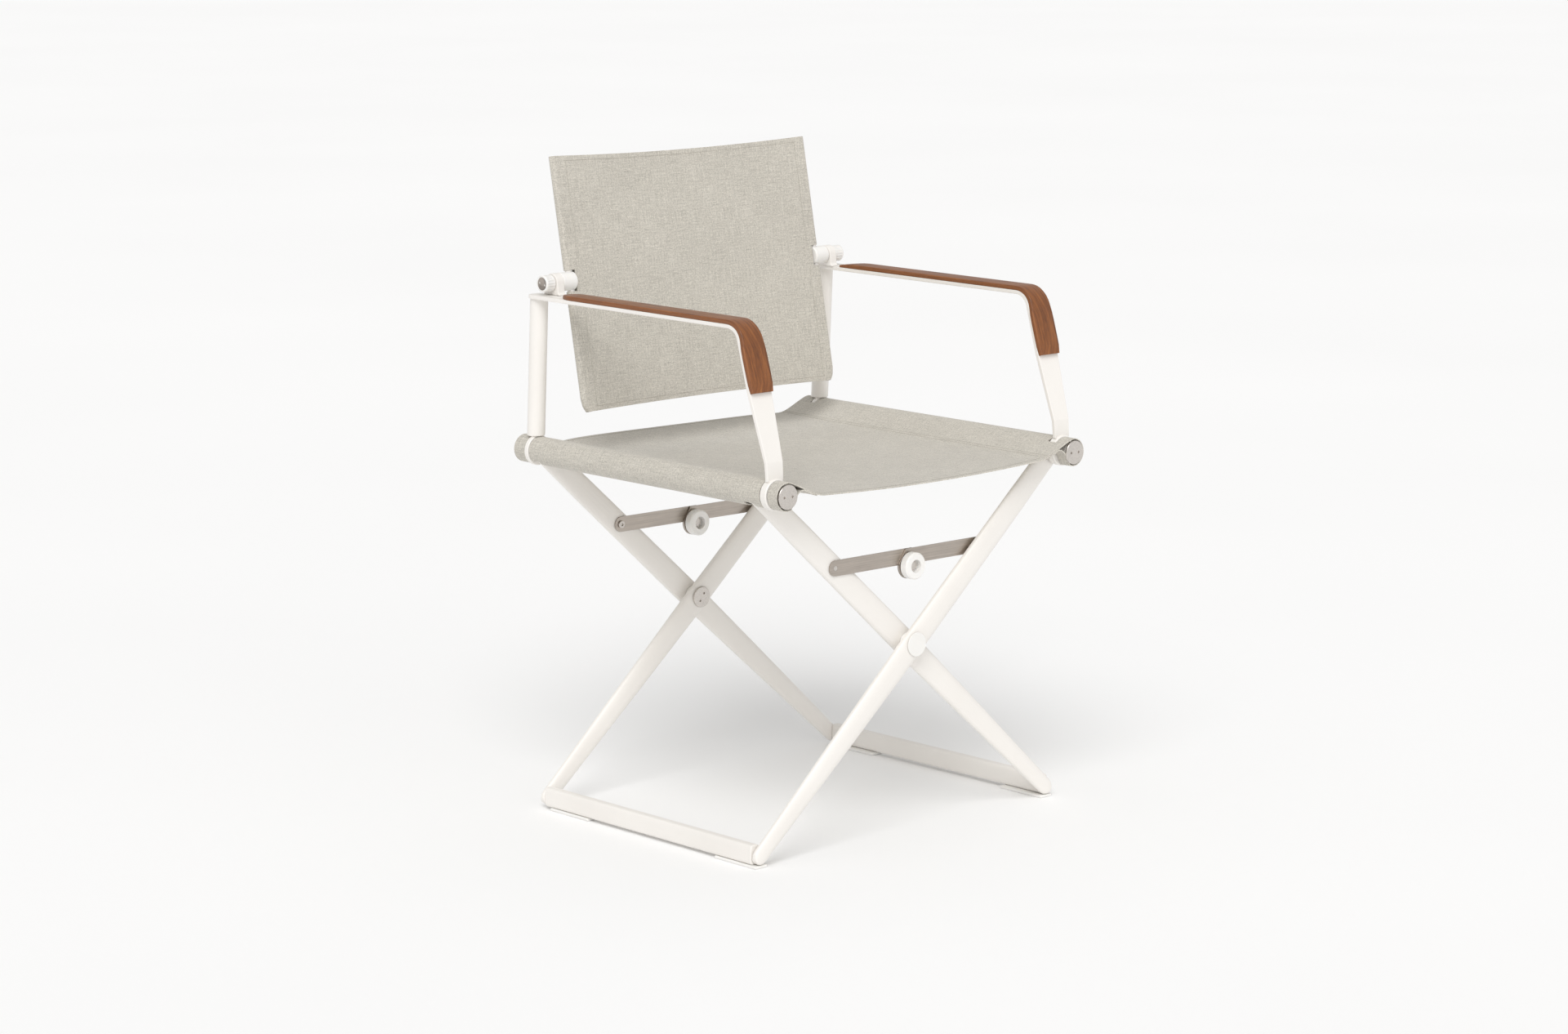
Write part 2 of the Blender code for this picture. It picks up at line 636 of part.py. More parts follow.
def make_link_screw(frame, end, body):
    """The socket screw that pins a link to its leg, or the flush pin of frame A's front link."""
    top = FRAMES[frame]
    bar_face = leg_link_plane(frame, end) + top * (LINK_THICK / 2 + GAP)
    start = Vector((top * PIN_X, bar_face + top * 0.0020, PIN_Z))
    bm = bmesh.new()
    flush = frame == "a" and end == "front"
    profile = [(0, 0.0044), (0.0005, 0.0050), (0.0020, 0.0050), (0.0020, 0.0030), (0.0105, 0.0030)]
    turn(bm, start, (0, -top, 0), [(0.0023, 0.0031), (0.0105, 0.0031)] if flush else profile, 20)
    screw = add_object(f"link_screw_{frame}_{end}", bm, "steel", body)
    if flush:
        return
    socket = bmesh.new()
    turn(socket, start + Vector((0, top * 0.001, 0)), (0, -top, 0), [(0, 0.0024), (0.0024, 0.0024)], 6)
    cut(screw, socket)


def make_knee(end, body):
    """The white knee knob on frame B's link, and the screw that holds it."""
    back = LEG_Y[end] + LEG_THICK / 2 - GAP
    front = back - 0.0120
    bm = bmesh.new()
    bar_y(bm, 0, KNEE_Z, front, back, KNEE_R - 0.0002, 40, 0.0016)
    knob = add_object(f"knee_knob_{end}", bm, "white_plastic", body)
    for low, high, radius in ((front - 0.01, front + 0.0080, 0.0084), (front - 0.02, back + 0.01, 0.0033)):
        hole = bmesh.new()
        bar_y(hole, 0, KNEE_Z, low, high, radius, 24)
        cut(knob, hole)
    screw = bmesh.new()
    profile = [(0, 0.0054), (0.0005, 0.0060), (0.0024, 0.0060), (0.0024, 0.0030), (0.0080, 0.0030)]
    turn(screw, (0, front + 0.0080 - GAP - 0.0024, KNEE_Z), AXIS_Y, profile, 20)
    add_object(f"knee_screw_{end}", screw, "steel", body)


def build():
    clear_scene()
    frame_a = pivot_empty("frame_a_axis", (0, 0, CROSS_Z))
    frames = {"a": frame_a, "b": pivot_empty("frame_b_axis", (0, 0, CROSS_Z), frame_a)}
    for end in ENDS:
        make_crossing(end, frame_a)
    for name, body in frames.items():
        for end in ENDS:
            make_leg(name, end, body)
            make_glide(name, end, body)
            make_link_screw(name, end, body)
            pin = (FRAMES[name] * PIN_X, leg_link_plane(name, end), PIN_Z)
            link_body = pivot_empty(f"stay_{name}_{end}_axis", pin, body)
            make_link(name, end, link_body)
            if name == "b":
                make_knee(end, link_body)
        make_base_rail(name, body)

    for side, frame in (("near", "a"), ("far", "b")):
        sign = SIDES[side]
        side_body = pivot_empty(f"side_{side}_axis", (sign * RAIL_X, 0, RAIL_Z), frames[frame])
        make_seat_rail(side, side_body)
        make_bushes(frame, side, side_body)
        make_strap(side, side_body)
        make_armrest(side, side_body)
        make_post(side, side_body)
        make_lug(side, side_body)
        make_seat_sleeve(side, frame, side_body)

        panel_body = pivot_empty(f"seat_{side}_axis", (sign * SEAM_X, 0, SLING_Z), side_body)
        make_seat_panel(side, panel_body)

        knob_body = pivot_empty(f"knob_{side}_axis", BACK_PIVOT + Vector((sign * 0.25, 0, 0)), side_body)
        make_knob(side, knob_body)
        rod_centre = BACK_PIVOT + Vector((sign * ROD_X, 0, 0))
        rod_body = pivot_empty(f"back_{side}_axis", rod_centre, side_body)
        make_back_rod(side, rod_body)
        sling_body = pivot_empty(f"back_sling_{side}_axis", rod_centre, rod_body)
        make_back_sling(side, sling_body)


build()
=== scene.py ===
"""The looks of the folding director chair: sling fabric, wooden armrests, fluted knobs, stitching and
every finish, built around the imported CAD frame. Metres, +Z up; the sitter faces -Y."""

import json
import math

import bmesh
import bpy
from mathutils import Matrix, Vector


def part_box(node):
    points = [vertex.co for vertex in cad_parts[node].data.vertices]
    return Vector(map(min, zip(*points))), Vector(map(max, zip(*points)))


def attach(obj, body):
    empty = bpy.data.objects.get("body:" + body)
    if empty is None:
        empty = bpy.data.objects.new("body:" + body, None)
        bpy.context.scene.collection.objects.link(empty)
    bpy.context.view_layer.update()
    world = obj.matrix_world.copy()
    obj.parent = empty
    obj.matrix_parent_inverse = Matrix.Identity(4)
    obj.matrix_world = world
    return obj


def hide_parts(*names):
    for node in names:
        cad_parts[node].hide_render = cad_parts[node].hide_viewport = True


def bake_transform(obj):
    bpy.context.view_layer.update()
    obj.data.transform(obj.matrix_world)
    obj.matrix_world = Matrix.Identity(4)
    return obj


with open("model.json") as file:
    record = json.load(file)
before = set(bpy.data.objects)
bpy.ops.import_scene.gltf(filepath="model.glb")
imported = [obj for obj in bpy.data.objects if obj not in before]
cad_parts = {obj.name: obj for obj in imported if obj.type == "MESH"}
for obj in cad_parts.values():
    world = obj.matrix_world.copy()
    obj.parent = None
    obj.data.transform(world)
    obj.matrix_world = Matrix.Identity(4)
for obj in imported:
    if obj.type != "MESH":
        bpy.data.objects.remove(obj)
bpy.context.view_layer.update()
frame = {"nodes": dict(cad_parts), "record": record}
nodes = frame["nodes"]

SIDES = {"near": -1.0, "far": 1.0}
FRAME_OF = {"near": "a", "far": "b"}  # the leg frame that carries each side

# Seat, in step with the CAD
RAIL_X, RAIL_Z = 0.248, 0.466  # seat rail axis
RINGS = ((-0.229, 0.0075), (0.2250, 0.0045))  # ring centres and the half widths of their slots
RING_SLOT_X = 0.2315  # the slots start this far out
LEG_Y = {"a": (-0.197, 0.2145), "b": (-0.214, 0.1975)}  # planes of each frame's legs
LEG_SLOT = 0.0088  # half width of the cloth's opening round a leg
SEAT_FRONT, SEAT_REAR = -0.2525, 0.2508
SLING_Z = 0.463  # middle surface of the flat seat
SEAM_X = 0.203  # where the cloth is sewn back on itself
RISE_X = SEAM_X - 0.016  # where the seat starts to rise towards its rail
SAG_X, SAG_DEEP = 0.226, 0.0055  # the seat sags and ripples inside this, and how deep it sags
FRONT_DRAW = 0.0022  # how far the seat's front edge bows in at its middle
PULL_DEEP = 0.0009  # height of the faint pulls at the rail hubs
LOOP_R = 0.0174  # middle surface of the cloth round the rail
LOOP_FROM, LOOP_TO = 108, -112  # degrees at which the cloth meets and leaves the rail
LEG_FROM = -41  # below this angle the loop is open round the legs

# Arms, in step with the CAD
BEND_Y, BEND_R = -0.1602, 0.0245  # centre and radius of the strap's bend
ARM_LEAN = math.radians(17.1)  # the front stretch of the strap against the vertical
STRAP_HALF = 0.0025
REST_FROM, REST_TO_Z = 0.1735, 0.5866  # the wooden rest's rear tip and its lower front end
REST_LOW, REST_THICK = 0.0028, 0.0052  # its inner face above the strap's middle, and its thickness

# Back, in step with the CAD
PIVOT_Y, PIVOT_Z = 0.201, 0.6835  # tilt axis
BACK_LEAN = math.radians(11.1)
BACK_UP = Vector((0, math.sin(BACK_LEAN), math.cos(BACK_LEAN)))
BACK_OUT = Vector((0, math.cos(BACK_LEAN), -math.sin(BACK_LEAN)))
ROD_X = 0.2125
BACK_HIGH, BACK_LOW = 0.1604, 0.1690  # reach of the cloth above and below the tilt axis
BACK_LOOP = 0.0050  # middle surface of the cloth round the rod
BOSS_HALF, BOSS_X = 0.0137, 0.2052  # half height and inner edge of the cut-out round the boss
CORNER_DRAW, CORNER_TALL = 0.0065, 0.0145  # how far and over what height the lower corners draw in
BACK_FLAT = 0.1985  # the cloth is flat from the middle to here
HEM_LONG = 0.2005

# Clamp knobs
KNOB_INNER = 0.2430  # inner end of the barrel
KNOB_SIDES, FLUTE_EVERY, FLUTE_DEEP = 72, 4, 0.0010
KNOB_FACE_R = 0.0092  # the steel end face inside the white barrel
HOLE_R, HOLE_DEEP = 0.0013, 0.0060  # pin-spanner holes in the knob's face

CLOTH = 0.0013  # fabric thickness
THREAD_WIDE, THREAD_HIGH = 0.0006, 0.00045
GRID = 0.009  # longest mesh step along a cloth


def ease(value):
    """A smooth step from 0 to 1."""
    value = max(0.0, min(1.0, value))
    return value * value * (3 - 2 * value)


def new_piece(name, bm, material, smooth=40):
    mesh = bpy.data.meshes.new(name)
    bm.to_mesh(mesh)
    bm.free()
    mesh.materials.append(material)
    obj = bpy.data.objects.new(name, mesh)
    bpy.context.collection.objects.link(obj)
    mesh.shade_smooth()
    mesh.set_sharp_from_angle(angle=math.radians(smooth))
    return obj


def skin(bm, rows):
    """Closes rings of vertices into one capped tube."""
    for low, high in zip(rows, rows[1:]):
        for i in range(len(low)):
            j = (i + 1) % len(low)
            bm.faces.new((low[i], low[j], high[j], high[i]))
    bm.faces.new(reversed(rows[0]))
    bm.faces.new(rows[-1])


def thicken(piece, thickness=CLOTH):
    solid = piece.modifiers.new("Cloth", "SOLIDIFY")
    solid.thickness = thickness
    solid.offset = 0.0


def apply_modifiers(obj):
    """Turns the piece's modifiers into mesh."""
    graph = bpy.context.evaluated_depsgraph_get()
    mesh = bpy.data.meshes.new_from_object(obj.evaluated_get(graph))
    old = obj.data
    obj.modifiers.clear()
    obj.data = mesh
    bpy.data.meshes.remove(old)
    mesh.name = obj.name
    mesh.set_sharp_from_angle(angle=math.radians(60))


# ---------------------------------------------------------------- materials


class Nodes:
    """A small helper that adds and links shader nodes in one material."""

    def __init__(self, name):
        self.material = bpy.data.materials.new(name)
        self.material.use_nodes = True
        self.tree = self.material.node_tree
        self.shader = self.tree.nodes["Principled BSDF"]
        self.coords = self.tree.nodes.new("ShaderNodeTexCoord")

    def add(self, kind, **values):
        node = self.tree.nodes.new(kind)
        for key, value in values.items():
            if hasattr(node, key):
                setattr(node, key, value)
            else:
                node.inputs[key.replace("_", " ")].default_value = value
        return node

    def link(self, source, target):
        self.tree.links.new(source, target)

    def mapped(self, source="Object", scale=(1, 1, 1)):
        mapping = self.add("ShaderNodeMapping")
        mapping.inputs["Scale"].default_value = scale
        self.link(self.coords.outputs[source], mapping.inputs["Vector"])
        return mapping.outputs["Vector"]

    def noise(self, vector, scale, detail=3.0, roughness=0.5):
        node = self.add("ShaderNodeTexNoise", Scale=scale, Detail=detail, Roughness=roughness)
        self.link(vector, node.inputs["Vector"])
        return node.outputs["Fac"]

    def math(self, operation, first, second=0.5):
        node = self.add("ShaderNodeMath", operation=operation)
        for value, socket in ((first, node.inputs[0]), (second, node.inputs[1])):
            if isinstance(value, (int, float)):
                socket.default_value = value
            else:
                self.link(value, socket)
        return node.outputs[0]

    def ramp(self, fac, stops):
        node = self.add("ShaderNodeValToRGB")
        ramp = node.color_ramp
        while len(ramp.elements) < len(stops):
            ramp.elements.new(0.5)
        for element, (place, colour) in zip(ramp.elements, stops):
            element.position = place
            element.color = (*colour, 1)
        self.link(fac, node.inputs["Fac"])
        return node.outputs["Color"]

    def scale_range(self, fac, low, high):
        node = self.add("ShaderNodeMapRange")
        node.inputs["To Min"].default_value = low
        node.inputs["To Max"].default_value = high
        self.link(fac, node.inputs["Value"])
        return node.outputs["Result"]

    def bump(self, height, distance, strength=1.0, below=None):
        node = self.add("ShaderNodeBump", Strength=strength, Distance=distance)
        self.link(height, node.inputs["Height"])
        if below:
            self.link(below, node.inputs["Normal"])
        return node.outputs["Normal"]

    def edge_wear_and_highlight(self, colour, edge_colour, amount=0.6):
        """Turns the colour towards the edge colour along sharp edges, broken up by noise: a painted
        highlight where that colour is lighter, as on the powder coat, and darker edge wear on the
        moulding.
        """
        bevel = self.add("ShaderNodeBevel", Radius=0.0012)
        geometry = self.add("ShaderNodeNewGeometry")
        dot = self.add("ShaderNodeVectorMath", operation="DOT_PRODUCT")
        self.link(bevel.outputs["Normal"], dot.inputs[0])
        self.link(geometry.outputs["Normal"], dot.inputs[1])
        edge = self.math("SUBTRACT", 1.0, dot.outputs["Value"])
        broken = self.math("MULTIPLY", edge, self.noise(self.mapped(), 260.0, 3.0))
        fac = self.math("MULTIPLY", broken, amount * 6)
        return self.mix(fac, colour, edge_colour)

    def mix(self, fac, colour, other):
        """Colour turning into a fixed other colour as fac rises."""
        node = self.add("ShaderNodeMix", data_type="RGBA", clamp_factor=True)
        self.link(fac, node.inputs[0])
        self.link(colour, node.inputs[6])
        node.inputs[7].default_value = (*other, 1)
        return node.outputs[2]


def powder_coat():
    """Satin off-white powder coat: fine orange peel, faint tone drift and a painted highlight that
    lightens its sharp edges.
    """
    n = Nodes("powder_coat")
    drift = n.noise(n.mapped(), 9.0, 3.0)
    grain = n.noise(n.mapped(), 900.0, 2.0)
    peel = n.noise(n.mapped(), 420.0, 2.0, 0.45)
    tone = n.ramp(drift, [(0.3, (0.855, 0.822, 0.780)), (0.7, (0.885, 0.855, 0.815))])
    # painted highlight: the coat turns lighter along its sharp edges, broken up by noise
    n.link(n.edge_wear_and_highlight(tone, (0.90, 0.88, 0.85)), n.shader.inputs["Base Color"])
    n.link(n.scale_range(grain, 0.34, 0.46), n.shader.inputs["Roughness"])
    n.link(n.bump(peel, 0.00010, 0.55), n.shader.inputs["Normal"])
    n.shader.inputs["Coat Weight"].default_value = 0.12
    n.shader.inputs["Coat Roughness"].default_value = 0.3
    return n.material


def white_plastic():
    """Matt white moulded plastic with a fine spark-eroded grain."""
    n = Nodes("white_moulding")
    drift = n.noise(n.mapped(), 14.0, 2.0)
    tone = n.ramp(drift, [(0.3, (0.855, 0.84, 0.81)), (0.7, (0.89, 0.875, 0.85))])
    n.link(n.edge_wear_and_highlight(tone, (0.80, 0.78, 0.75), amount=0.3), n.shader.inputs["Base Color"])
    grain = n.noise(n.mapped(), 1500.0, 2.0)
    n.link(n.scale_range(grain, 0.42, 0.56), n.shader.inputs["Roughness"])
    n.link(n.bump(grain, 0.00006, 0.5), n.shader.inputs["Normal"])
    n.shader.inputs["Subsurface Weight"].default_value = 0.05
    n.shader.inputs["Subsurface Radius"].default_value = (0.002, 0.0016, 0.0012)
    return n.material


def brushed_steel(name, stretch, tint):
    """Stainless steel brushed along one direction, with faint handling marks."""
    n = Nodes(name)
    lines = n.noise(n.mapped(scale=stretch), 1.0, 4.0, 0.6)
    smudge = n.noise(n.mapped(), 22.0, 4.0, 0.6)
    dark = tuple(0.80 * c for c in tint)
    light = tuple(1.14 * c for c in tint)
    mixed = n.math("ADD", n.math("MULTIPLY", lines, 0.7), n.math("MULTIPLY", smudge, 0.3))
    n.link(n.ramp(mixed, [(0.32, dark), (0.68, light)]), n.shader.inputs["Base Color"])
    n.link(n.scale_range(mixed, 0.26, 0.46), n.shader.inputs["Roughness"])
    n.link(n.bump(lines, 0.00005, 0.4), n.shader.inputs["Normal"])
    n.shader.inputs["Metallic"].default_value = 1.0
    return n.material


def wood():
    """Reddish brown hardwood under oil; UV runs in metres, u across and v along the rest."""
    n = Nodes("armrest_wood")
    flow = n.mapped("UV", scale=(1, 0.055, 1))
    wander = n.noise(n.mapped("UV", scale=(1, 0.25, 1)), 26.0, 2.0)
    warped = n.add("ShaderNodeVectorMath", operation="MULTIPLY_ADD")
    combine = n.add("ShaderNodeCombineXYZ")
    n.link(wander, combine.inputs["X"])
    n.link(combine.outputs["Vector"], warped.inputs[0])
    warped.inputs[1].default_value = (0.008, 0, 0)
    n.link(flow, warped.inputs[2])
    bands = n.noise(warped.outputs["Vector"], 260.0, 3.0, 0.55)
    fine = n.noise(warped.outputs["Vector"], 1500.0, 4.0, 0.65)
    pores = n.noise(n.mapped("UV", scale=(1, 0.035, 1)), 3200.0, 2.0, 0.6)
    mixed = n.math("ADD", n.math("MULTIPLY", bands, 0.55), n.math("MULTIPLY", fine, 0.45))
    colour = n.ramp(mixed, [
        (0.34, (0.088, 0.026, 0.0055)),
        (0.46, (0.190, 0.060, 0.0130)),
        (0.56, (0.275, 0.093, 0.0215)),
        (0.70, (0.350, 0.134, 0.036)),
    ])
    pore_mask = n.math("LESS_THAN", pores, 0.36)
    dotted = n.mix(n.math("MULTIPLY", pore_mask, 0.45), colour, (0.05, 0.016, 0.008))
    n.link(dotted, n.shader.inputs["Base Color"])
    n.link(n.scale_range(fine, 0.38, 0.56), n.shader.inputs["Roughness"])
    base = n.bump(fine, 0.00012, 0.6)
    n.link(n.bump(n.math("SUBTRACT", 1.0, pore_mask), 0.00010, 0.5, base), n.shader.inputs["Normal"])
    n.shader.inputs["Coat Weight"].default_value = 0.22
    n.shader.inputs["Coat Roughness"].default_value = 0.35
    return n.material


def weave(name, light, dark, pitch=0.00105):
    """Plain weave of mixed warm grey threads, with painted shade in the dips between them; UV runs in
    metres along weft and warp.
    """
    n = Nodes(name)
    across = n.add("ShaderNodeSeparateXYZ")
    n.link(n.mapped("UV"), across.inputs["Vector"])
    u, v = across.outputs["X"], across.outputs["Y"]
    rate = math.pi / pitch
    wu = n.math("SINE", n.math("MULTIPLY", u, rate))
    wv = n.math("SINE", n.math("MULTIPLY", v, rate))
    over = n.math("MULTIPLY", wu, wv)
    warp = n.math("ABSOLUTE", wu, 0)
    weft = n.math("ABSOLUTE", wv, 0)
    top = n.math("MULTIPLY", n.math("ADD", over, 1.0), 0.5)
    height = n.math(
        "ADD",
        n.math("MULTIPLY", warp, top),
        n.math("MULTIPLY", weft, n.math("SUBTRACT", 1.0, top)),
    )
    slub_u = n.noise(n.mapped("UV", scale=(1, 0.04, 1)), 900.0, 2.0, 0.7)
    slub_v = n.noise(n.mapped("UV", scale=(0.04, 1, 1)), 900.0, 2.0, 0.7)
    fleck = n.noise(n.mapped("UV"), 620.0, 2.0, 0.75)
    cloud = n.noise(n.mapped("UV"), 11.0, 4.0, 0.6)
    threads = n.math("ADD", n.math("MULTIPLY", slub_u, 0.5), n.math("MULTIPLY", slub_v, 0.5))
    coarse = n.noise(n.mapped("UV"), 330.0, 2.0, 0.6)
    flecks = n.math("ADD", n.math("MULTIPLY", fleck, 0.7), n.math("MULTIPLY", coarse, 0.3))
    tone = n.math("ADD", n.math("MULTIPLY", threads, 0.36), n.math("MULTIPLY", flecks, 0.46))
    tone = n.math("ADD", tone, n.math("MULTIPLY", cloud, 0.05))
    # painted shade: the weave's relief tints the colour, lighter on the thread crowns and darker in
    # the dips between threads
    tone = n.math("ADD", tone, n.math("MULTIPLY", height, 0.13))
    n.link(n.ramp(tone, [(0.385, dark), (0.615, light)]), n.shader.inputs["Base Color"])
    n.link(n.scale_range(fleck, 0.82, 0.95), n.shader.inputs["Roughness"])
    lumps = n.math("ADD", height, n.math("MULTIPLY", fleck, 0.8))
    n.link(n.bump(lumps, 0.00022, 0.6), n.shader.inputs["Normal"])
    n.shader.inputs["Sheen Weight"].default_value = 0.25
    n.shader.inputs["Sheen Roughness"].default_value = 0.5
    return n.material


def thread_material():
    """Warm grey sewing thread."""
    n = Nodes("sewing_thread")
    twist = n.noise(n.mapped(), 2500.0, 2.0)
    tone = n.ramp(twist, [(0.3, (0.40, 0.38, 0.33)), (0.7, (0.55, 0.52, 0.46))])
    n.link(tone, n.shader.inputs["Base Color"])
    n.link(n.bump(twist, 0.0001, 0.6), n.shader.inputs["Normal"])
    n.shader.inputs["Roughness"].default_value = 0.8
    return n.material


COAT = powder_coat()
MOULDING = white_plastic()
STEEL_X = brushed_steel("steel_brushed_along_x", (18, 900, 900), (0.49, 0.438, 0.39))
STEEL_Y = brushed_steel("steel_face_turned", (900, 18, 900), (0.66, 0.62, 0.58))
STEEL_KNOB = brushed_steel("steel_knob", (30, 900, 900), (0.44, 0.39, 0.35))
WOOD = wood()
FABRIC = weave("sling_weave", (0.740, 0.700, 0.620), (0.292, 0.273, 0.238))
THREAD = thread_material()


def finish_cad_nodes():
    """Gives every CAD node the procedural material of its slot."""
    slots = {entry["node"]: entry["material_slot"] for entry in frame["record"]["subparts"]}
    chosen = {"white_paint": COAT, "white_plastic": MOULDING, "wood": WOOD, "fabric": FABRIC}
    for name, obj in nodes.items():
        steel = STEEL_X if name.startswith("stay_link") else STEEL_Y
        material = chosen.get(slots[name], steel)
        obj.data.materials.clear()
        obj.data.materials.append(material)


# ---------------------------------------------------------------- armrests


def arm_path():
    """Centre line of the strap under the rest, as (y, z, heading in degrees)."""
    centre_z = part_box("arm_strap_near")[1].z - STRAP_HALF
    points = [(REST_FROM - 0.0055 * i, centre_z, 180.0) for i in range(62)]
    points = [p for p in points if p[0] > BEND_Y + 0.004]
    sweep = 90 - math.degrees(ARM_LEAN)
    for step in range(17):
        turned = sweep * step / 16
        a = math.radians(90 + turned)
        y = BEND_Y + BEND_R * math.cos(a)
        z = centre_z - BEND_R + BEND_R * math.sin(a)
        points.append((y, z, 180 + turned))
    y, z, _ = points[-1]
    for step in range(1, 7):
        drop = (z - REST_TO_Z) * step / 6
        points.append((y - drop * math.tan(ARM_LEAN), z - drop, 180 + sweep))
    return points


def arm_width(z, y):
    """The strap's width as in the CAD: widest just below the bend."""
    if z > 0.66:
        return 0.0285 + 0.0025 * min(1.0, max(0.0, (0.1 - y) / 0.26))
    if z > 0.60:
        return 0.0310 + 0.0060 * min(1.0, (0.66 - z) / 0.025)
    return 0.0255 + 0.0115 * max(0.0, min(1.0, (z - 0.495) / 0.105))


def rounded_bar(wide, low, high, corner=0.0016, steps=3):
    """A section with its two upper corners rounded, from the lower left anticlockwise."""
    section = [(-wide, low), (wide, low)]
    for centre, start in (((wide - corner, high - corner), 0), ((-wide + corner, high - corner), 90)):
        for i in range(steps + 1):
            a = math.radians(start + 90 * i / steps)
            section.append((centre[0] + corner * math.cos(a), centre[1] + corner * math.sin(a)))
    return section


def make_armrest(side):
    """The oiled wooden rest, with its rear tip tapered towards the chair's inside."""
    x = SIDES[side] * RAIL_X
    bm = bmesh.new()
    uv = bm.loops.layers.uv.new("UVMap")
    rows = []
    places = []
    along = 0.0
    last = None
    path = arm_path()
    for index, (y, z, heading) in enumerate(path):
        point = Vector((0, y, z))
        along += (point - last).length if last else 0.0
        last = point
        a = math.radians(heading)
        out_y, out_z = -math.sin(a), math.cos(a)
        near_tip = max(0.0, 1 - along / 0.034)
        full = arm_width(z, y) / 2
        wide = full * (1 - 0.62 * near_tip ** 2.2)
        inward = -SIDES[side] * (full - wide)
        high = REST_LOW + REST_THICK * (1 - 0.45 * near_tip ** 2)
        eased = 0.0007 if index == len(path) - 1 else 0.0
        section = rounded_bar(wide - eased, REST_LOW, high - eased)
        row = [bm.verts.new((x + inward + u, y - v * out_y, z - v * out_z)) for u, v in section]
        rows.append(row)
        girth = [0.0]
        for first, second in zip(section, section[1:]):
            girth.append(girth[-1] + math.dist(first, second))
        places.append([(g, along) for g in girth])
    count = len(rows[0])
    for i in range(len(rows) - 1):
        for j in range(count):
            k = (j + 1) % count
            face = bm.faces.new((rows[i][j], rows[i][k], rows[i + 1][k], rows[i + 1][j]))
            spots = (places[i][j], places[i][k], places[i + 1][k], places[i + 1][j])
            for loop, spot in zip(face.loops, spots):
                loop[uv].uv = spot
    for row, spots in ((rows[0][::-1], places[0]), (rows[-1], places[-1])):
        face = bm.faces.new(row)
        for loop in face.loops:
            loop[uv].uv = (loop.vert.co.x * SIDES[side], spots[0][1] + loop.vert.co.z * 0.1)
    bmesh.ops.recalc_face_normals(bm, faces=bm.faces)
    piece = new_piece(f"wood_rest_{side}", bm, WOOD, 50)
    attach(piece, f"side_{side}")
    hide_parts(f"armrest_{side}")


# ---------------------------------------------------------------- fabric


def measured(points, sign):
    """Mirrors (across, height, zone) points to one side and adds the length along the cloth."""
    length = 0.0
    done = []
    for i, (x, z, zone) in enumerate(points):
        if i:
            length += math.dist((x, z), points[i - 1][:2])
        done.append((sign * x, z, sign * length, zone))
    return done


def strip_grid(bm, uv, profile, ys, keep, place):
    """Builds a sheet over (profile point, y), leaving out the cells that keep refuses."""
    verts = {}

    def vert(i, j):
        if (i, j) not in verts:
            verts[i, j] = bm.verts.new(place(profile[i], ys[j]))
        return verts[i, j]

    for i in range(len(profile) - 1):
        for j in range(len(ys) - 1):
            if not keep(profile[i], profile[i + 1], (ys[j] + ys[j + 1]) / 2):
                continue
            corners = ((i, j), (i + 1, j), (i + 1, j + 1), (i, j + 1))
            face = bm.faces.new([vert(*c) for c in corners])
            for loop, (a, b) in zip(face.loops, corners):
                loop[uv].uv = (profile[a][2], ys[b])


def spread(stops, step):
    """Evenly filled coordinates that include every stop."""
    found = []
    for low, high in zip(stops, stops[1:]):
        parts = max(1, round((high - low) / step))
        found += [low + (high - low) * i / parts for i in range(parts)]
    return found + [stops[-1]]


def stitches(name, spots):
    """A piece of flat rounded stitches at (centre, direction, normal, length)."""
    bm = bmesh.new()
    turns = [math.tau * i / 6 for i in range(6)]
    for centre, direction, normal, length in spots:
        across = direction.cross(normal).normalized()
        rows = []
        for share, size in ((-0.5, 0.35), (-0.28, 0.9), (0.0, 1.0), (0.28, 0.9), (0.5, 0.35)):
            lift = THREAD_HIGH * (1 - (2 * share) ** 2) * 0.6
            base = centre + direction * (length * share) + normal * lift
            side_reach = across * (THREAD_WIDE / 2 * size)
            high_reach = normal * (THREAD_HIGH / 2)
            ring = [base + side_reach * math.cos(a) + high_reach * math.sin(a) for a in turns]
            rows.append([bm.verts.new(spot) for spot in ring])
        skin(bm, rows)
    bmesh.ops.recalc_face_normals(bm, faces=bm.faces)
    return new_piece(name, bm, THREAD)


def stitch_run(start, end, normal, shape, pitch=0.0036, length=0.0027):
    """Stitches laid from start to end; shape moves a point onto the cloth."""
    start, end = Vector(start), Vector(end)
    count = int((end - start).length / pitch)
    step = (end - start) / count
    centres = [shape(start + step * (i + 0.5)) for i in range(count)]
    return [(centre, step.normalized(), Vector(normal), length) for centre in centres]


def sag(x, y):
    """How far the stretched seat dips; its rear edge stays up, taut between the rail tops."""
    share = max(0.0, 1 - abs(x) / 0.215)
    dip = SAG_DEEP * (1 - (1 - share) ** 2) * (1 + 0.25 * ease((-0.16 - y) / 0.09))
    taut = (0.0055 - 0.0085 * x) * (1 - min(1.0, abs(x) / 0.23) ** 5)
    return dip - ease((y - 0.13) / 0.12) * (dip + taut)


def ripple(x, y):
    """Faint pulls in the cloth that run from the rail hubs towards the middle."""
    value = 0.0
    for sx in (-1, 1):
        for sy in (-1, 1):
            dx, dy = x - sx * 0.235, y - sy * 0.228
            reach = math.hypot(dx, dy)
            angle = math.atan2(dy * -sy, dx * -sx)
            value += math.exp(-reach / 0.075) * math.sin(7.0 * angle) * PULL_DEEP
    return value


